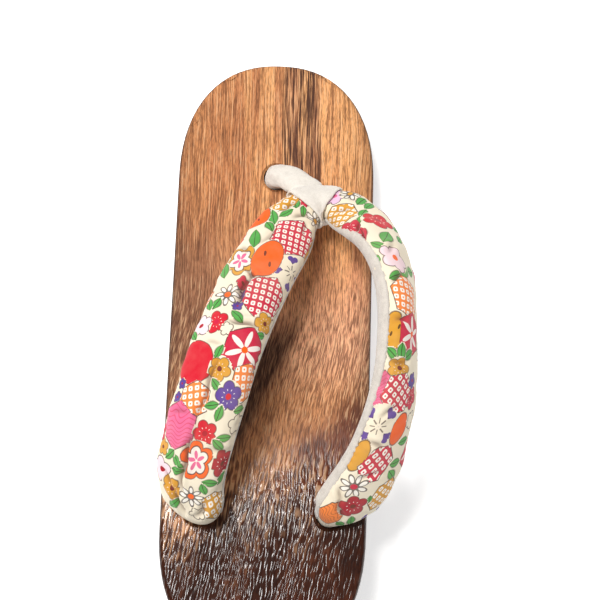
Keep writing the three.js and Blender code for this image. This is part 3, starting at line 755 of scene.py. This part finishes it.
def buildArm(name, direction, figures, creases, materials):
    step, around = thong["step"], thong["around"]
    count = int((apexLength if direction < 0 else strapRun.lengths[-1] - apexLength) / step)
    angles = -math.pi / 2 + np.arange(around) / around * 2 * math.pi
    distance = np.arange(count + 1) * step
    shares = [strapRun.shareAt(apexLength + direction * d) for d in distance]
    rings = np.array([strapRun.ring(t, angles) for t in shares])
    gaps = np.linalg.norm(np.diff(np.concatenate([rings, rings[:, :1]], 1), axis=1), axis=2)
    walked = np.concatenate([np.zeros((len(rings), 1)), np.cumsum(gaps, 1)], 1)[:, :-1]
    middle = walked[:, around // 2][:, None]
    across = walked - middle
    along = np.repeat(distance[:, None], around, 1)
    normals = ringNormals(rings)
    p = padding
    free = np.clip((distance - p["evenAtLoop"]) / p["easing"], 0, 1)
    free = free * np.clip((distance[-1] - p["evenAtHole"] - distance) / p["easing"], 0, 1)
    flat = rings.reshape(-1, 3)
    lumps = unevenness(flat, p["lumpSize"], 3.1 + direction).reshape(across.shape) * p["lump"]
    lumps += unevenness(flat, p["dimpleSize"], 7.7 + direction).reshape(across.shape) * p["dimple"]
    # the cloth puckers along both seams
    seam = np.exp(-((np.abs(across) - p["seamAt"]) / p["seamWidth"]) ** 2)
    pucker = seam * np.sin(along * 2 * math.pi / p["puckerPitch"] + 1.6 * np.sin(along * 0.31)) * p["pucker"]
    pressed = creaseDepth(along, across, creases) * free[:, None]
    shift = pressed + (lumps * (1 - 0.6 * seam) + pucker - seam * p["seamSink"]) * free[:, None]
    rings = rings + normals * shift[..., None]
    cover = loft(name + "Cover", rings * mm, materials["print"])
    stampFigures(cover, along, across, figures)
    hollow = cover.data.attributes.new("hollow", "FLOAT", "POINT")  # painted shade in the creases
    shade = np.clip(-pressed, 0, p["deepestShade"]).ravel()
    hollow.data.foreach_set("value", np.append(shade, [0, 0]).astype(np.float32))

    # the lining is a thin strip over the back, with a soft ragged edge
    def fray(length, pitch, seed):
        return noise.noise(Vector((length * pitch, seed, direction)))

    size = liningSize
    strips = []
    start = math.radians(thong["seamAngle"])
    raised = size["raised"] * np.sin(np.linspace(0, math.pi, size["points"])) ** 0.35
    for length, t in zip(distance, shares):
        outerFray = 0.05 * fray(length, 0.8, 17)
        innerFray = 0.05 * fray(length, 0.9, 3) + 0.03 * fray(length, 2.3, 9)
        edge = start  # how far the lining comes up on the inner side
        if direction > 0:
            edge = math.radians(np.interp(length, *zip(*thong["rightSeam"])))
        back = np.linspace(math.pi - start + outerFray, 2 * math.pi + edge + innerFray, size["points"])
        outer = strapRun.ring(t, back)
        spread = outer - strapRun.through(strapRun.path, t, False)
        spread /= np.linalg.norm(spread, axis=1)[:, None]
        shownSide, hiddenSide = outer + spread * raised[:, None], outer - spread * size["sunk"]
        strips.append(np.concatenate([shownSide, hiddenSide[::-1]]))
    shown = np.array(strips)[size["hiddenAtLoop"]:-size["hiddenAtHole"]]
    lining = loft(name + "Lining", shown * mm, materials["lining"])
    return cover, lining


# toe loop

loopSize = dict(
    bandFrom=-9.0, bandTo=5.6, wall=2.0, gap=0.25, around=120, voxel=0.36,
    rimSteps=24, neckAround=40, neckSteps=60,
)


def buildToeLoop(material):
    size = loopSize
    angles = np.arange(size["around"]) / size["around"] * 2 * math.pi
    profile = []  # along the thong and out from it: a flat loop with rounded rims
    for step in range(size["rimSteps"]):
        turn = step / size["rimSteps"] * 2 * math.pi
        c, s = math.cos(turn), math.sin(turn)
        ahead = 0.5 + 0.5 * math.copysign(abs(c) ** 0.35, c)
        outward = 0.5 + 0.5 * math.copysign(abs(s) ** 0.7, s)
        profile.append((ahead, outward))
    rings = []
    for share, height in profile:
        ring = []
        for angle in angles:
            heelSide = max(math.cos(angle), 0)  # narrower towards the heel, and no collar on the toe side
            start, end = size["bandFrom"] * (1 - 0.35 * heelSide), size["bandTo"] * (1 - 0.4 * heelSide)
            t = strapRun.shareAt(apexLength + start + (end - start) * share)
            thin = 1 - 0.75 * max(-math.cos(angle), 0) * share ** 2
            grow = (size["gap"] + size["wall"] * height) * thin
            ring.append(strapRun.ring(t, np.array([angle]), grow)[0])
        rings.append(ring)
    rings = np.array(rings)
    band = newPiece("toeLoopBand", rings.reshape(-1, 3) * mm, hoopFaces(*rings.shape[:2]), material)
    neckAngles = np.arange(size["neckAround"]) / size["neckAround"] * 2 * math.pi
    neckRings = np.array([neckRun.ring(t, neckAngles) for t in np.linspace(0, 1, size["neckSteps"])])
    stem = loft("toeLoop", neckRings * mm, material)
    joinInto(stem, band)
    remesh = stem.modifiers.new("skin", "REMESH")
    remesh.mode = "VOXEL"
    remesh.voxel_size = size["voxel"] * mm
    bpy.ops.object.modifier_apply(modifier="skin")
    soften = stem.modifiers.new("soften", "SMOOTH")
    soften.factor, soften.iterations = 0.6, 14
    bpy.ops.object.modifier_apply(modifier="soften")
    for vertex in stem.data.vertices:  # folds that run up the neck, and a soft pile
        p = vertex.co / mm
        fold = noise.noise(Vector((p.x * 0.12 + p.y * 0.2, p.y * 0.16 - p.x * 0.05, p.z * 0.3)))
        pile = noise.noise(p * 1.6)
        vertex.co += vertex.normal * (fold * 0.7 + pile * 0.14) * mm
    for polygon in stem.data.polygons:
        polygon.use_smooth = True
    return stem


# knots below the sole

knotSize = dict(
    spread=1.35, height=1.75, radius=2.15, strands=3, twist=1.1, stub=2.4, halfHeight=4.3, gap=0.5,
    around=18, steps=120, stubSteps=40,
)


def buildKnot(name, hole, top, material):
    size = knotSize
    x, y, recessTop = hole
    middle = recessTop - size["gap"] - size["halfHeight"]
    turns = np.linspace(0, 2 * math.pi, size["steps"] + 1)[:-1]
    path = np.stack([
        size["spread"] * (np.sin(turns) + 2 * np.sin(2 * turns)),
        size["spread"] * (np.cos(turns) - 2 * np.cos(2 * turns)), -size["height"] * np.sin(3 * turns)], 1)
    forward = np.roll(path, -1, 0) - np.roll(path, 1, 0)
    forward /= np.linalg.norm(forward, axis=1)[:, None]
    side = np.cross(forward, [0, 0, 1])
    side /= np.linalg.norm(side, axis=1)[:, None]
    rise = np.cross(side, forward)
    length = np.cumsum(np.linalg.norm(np.roll(path, -1, 0) - path, axis=1))
    angles = np.arange(size["around"]) / size["around"] * 2 * math.pi
    lay = angles[None, :] - size["twist"] * length[:, None] / size["strands"]
    lobes = 1 + 0.1 * np.cos(size["strands"] * lay)
    rings = path[:, None] + size["radius"] * lobes[..., None] * (
        np.cos(angles)[None, :, None] * side[:, None] + np.sin(angles)[None, :, None] * rise[:, None])
    rings += np.array([x, y, middle])
    knot = newPiece(name, rings.reshape(-1, 3) * mm, hoopFaces(*rings.shape[:2]), material)
    heights = np.linspace(middle, top, size["stubSteps"])
    stub = np.array([[
        (x + size["stub"] * (1 + 0.1 * math.cos(3 * (a - h * 0.4))) * math.cos(a),
         y + size["stub"] * (1 + 0.1 * math.cos(3 * (a - h * 0.4))) * math.sin(a), h) for a in angles]
        for h in heights])
    cord = loft(name + "Cord", stub * mm, material)
    joinInto(knot, cord)
    return knot


# sole

def choose(piece, domain, wanted):  # selects the vertices, edges or faces that pass the test
    bpy.ops.object.mode_set(mode="OBJECT")
    mesh = piece.data
    parts = dict(VERT=mesh.vertices, EDGE=mesh.edges, FACE=mesh.polygons)
    passed = [bool(wanted(part)) for part in parts[domain]]
    bpy.ops.object.mode_set(mode="EDIT")
    bpy.ops.mesh.select_mode(type=domain)
    bpy.ops.mesh.select_all(action="DESELECT")
    bpy.ops.object.mode_set(mode="OBJECT")
    parts = dict(VERT=mesh.vertices, EDGE=mesh.edges, FACE=mesh.polygons)
    parts[domain].foreach_set("select", passed)
    bpy.ops.object.mode_set(mode="EDIT")


def buildSole(material):
    size = soleSize
    halfLength = size["length"] / 2
    middle = size["toeTip"] - halfLength
    clearSelection()
    # a block whose corners take the full round of the ends, then stretched to size
    bpy.ops.mesh.primitive_cube_add(size=2)
    sole = bpy.context.object
    sole.name = "woodenSole"
    sole.scale = (1, halfLength / size["endReach"], 0.5)
    bpy.ops.object.transform_apply(location=False, rotation=False, scale=True)
    corners = sole.data.vertices

    def upright(edge):
        first, second = (corners[n].co.z for n in edge.vertices)
        return abs(first - second) > 0.5

    choose(sole, "EDGE", upright)
    bpy.ops.mesh.bevel(
        offset=0.9999, segments=size["cornerSteps"], profile=size["cornerRound"], clamp_overlap=True)
    bpy.ops.mesh.select_all(action="SELECT")
    bpy.ops.mesh.remove_doubles(threshold=0.0005)
    bpy.ops.object.mode_set(mode="OBJECT")
    sole.scale = (size["halfWidth"] * mm, size["endReach"] * mm, mm)
    sole.location = (0, middle * mm, 0)
    bpy.ops.object.transform_apply(location=True, rotation=False, scale=True)
    # cross cuts, so that the deck and the ground face can follow the profile
    bpy.ops.object.mode_set(mode="EDIT")
    straight = halfLength - size["endReach"]
    for i in range(size["stations"] + 1):
        y = (middle - straight + 2 * straight * i / size["stations"]) * mm
        bpy.ops.mesh.select_all(action="SELECT")
        bpy.ops.mesh.bisect(plane_co=(0, y, 0), plane_no=(0, 1, 0))
    for y in size["extraCuts"]:
        bpy.ops.mesh.select_all(action="SELECT")
        bpy.ops.mesh.bisect(plane_co=(0, y * mm, 0), plane_no=(0, 1, 0))
    bpy.ops.object.mode_set(mode="OBJECT")
    stations = []
    for y in sorted(v.co.y / mm for v in sole.data.vertices):
        if not stations or y - stations[-1] > 0.1:
            stations.append(y)
    for station in stations:
        bulge = math.cos((station - middle) / halfLength * math.pi / 2)
        belly = 1 + size["belly"] / size["halfWidth"] * bulge
        for top in (True, False):
            choose(sole, "VERT", lambda v: -0.01 < v.co.y / mm - station < 0.09 and (v.co.z > 0) == top)
            level = deckHeight(station) - 0.5 if top else groundHeight(station) + 0.5
            bpy.ops.transform.translate(value=(0, 0, level * mm))
            wide = belly if top else belly * (1 - size["taper"] / size["halfWidth"])
            bpy.ops.transform.resize(value=(wide, 1, 1), center_override=(0, 0, 0))
    choose(sole, "VERT", lambda v: v.co.z < 0.014)
    pull = 1 - size["taper"] / halfLength
    bpy.ops.transform.resize(value=(1, pull, 1), center_override=(0, middle * mm, 0))
    # round each rim
    for up, width, steps in ((1, size["topRound"], 5), (-1, size["bottomRound"], 3)):
        choose(sole, "FACE", lambda face: face.normal.z * up > 0.7)
        bpy.ops.mesh.region_to_loop()
        bpy.ops.mesh.bevel(offset=width * mm, segments=steps, profile=0.5)
    bpy.ops.object.mode_set(mode="OBJECT")
    # bore the three holes, with a recess below for each knot
    for x, y, recessTop in size["holes"]:
        deck = deckHeight(y)
        bores = [(size["holeRadius"], recessTop - 1, deck + 5), (size["recessRadius"], -5, recessTop)]
        for radius, low, high in bores:
            clearSelection()
            bpy.ops.mesh.primitive_cylinder_add(
                radius=radius * mm, depth=(high - low) * mm, vertices=size["holeSides"],
                location=(x * mm, y * mm, (high + low) / 2 * mm))
            cutWith(sole, bpy.context.object)
        clearSelection()
        bpy.ops.mesh.primitive_cone_add(
            radius1=size["holeRadius"] * mm, radius2=(size["holeRadius"] + size["countersink"]) * mm,
            depth=size["countersink"] * mm, vertices=size["holeSides"],
            location=(x * mm, y * mm, (deck - 0.2) * mm))
        cutWith(sole, bpy.context.object)
    clearSelection()
    sole.select_set(True)
    bpy.context.view_layer.objects.active = sole
    bpy.ops.object.shade_smooth_by_angle(angle=math.radians(size["sharpAngle"]))
    flatten = sole.modifiers.new("flatten", "WEIGHTED_NORMAL")  # the deck stays flat up to its rim
    flatten.keep_sharp = True
    bpy.ops.object.modifier_apply(modifier="flatten")
    sole.data.materials.clear()
    sole.data.materials.append(material)
    return sole


def cutWith(piece, cutter):
    cut = piece.modifiers.new("cut", "BOOLEAN")
    cut.operation = "DIFFERENCE"
    cut.solver = "EXACT"
    cut.object = cutter
    bpy.context.view_layer.objects.active = piece
    bpy.ops.object.modifier_apply(modifier="cut")
    bpy.data.objects.remove(cutter)


# make everything

placeCamera()
for lamp in lamps:
    placeLight(lamp)
world = bpy.data.worlds.new("studio")
bpy.context.scene.world = world
world.use_nodes = True
world.node_tree.nodes["Background"].inputs[0].default_value = (1, 1, 1, 1)
world.node_tree.nodes["Background"].inputs[1].default_value = skyStrength
bpy.context.scene.view_settings.view_transform = "Standard"
print("camera and light are placed")

clearSelection()
bpy.ops.mesh.primitive_plane_add(size=3, location=(0, 0, 0))
floor = bpy.context.object
floor.name = "floor"
floor.data.materials.append(makeFloor())

materials = dict(
    wood=makeWood(), print=makePrint(), hemp=makeHemp(),
    lining=makeVelveteen("liningVelveteen", tint(222, 214, 204), tint(184, 176, 166)),
    loop=makeVelveteen("loopVelveteen", tint(238, 231, 221), tint(214, 206, 195)),
)
print("materials are mixed")

sole = buildSole(materials["wood"])
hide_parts("sole")
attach(sole, "root")
print("the sole is shaped")

for name, direction, figures, creases in (
    ("left", -1, leftFigures, leftCreases), ("right", 1, rightFigures, rightCreases)):
    cover, lining = buildArm(name, direction, figures, creases, materials)
    for piece in (cover, lining):
        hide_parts("strap")
        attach(piece, "root")
    print("the %s arm is padded and covered" % name)

toeLoop = buildToeLoop(materials["loop"])
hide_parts("toe_loop")
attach(toeLoop, "root")
print("the toe loop is wrapped")

# how far below the deck each cord starts, just under the end of its cloth
cordStarts = [("toe_knot", 8.3), ("left_knot", 9.3), ("right_knot", 9.3)]
for (node, drop), hole in zip(cordStarts, soleSize["holes"]):
    top = deckHeight(hole[1]) - drop
    knot = buildKnot(node.replace("_knot", "Knot"), hole, top, materials["hemp"])
    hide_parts(node)
    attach(knot, "root")
print("the cords are knotted")
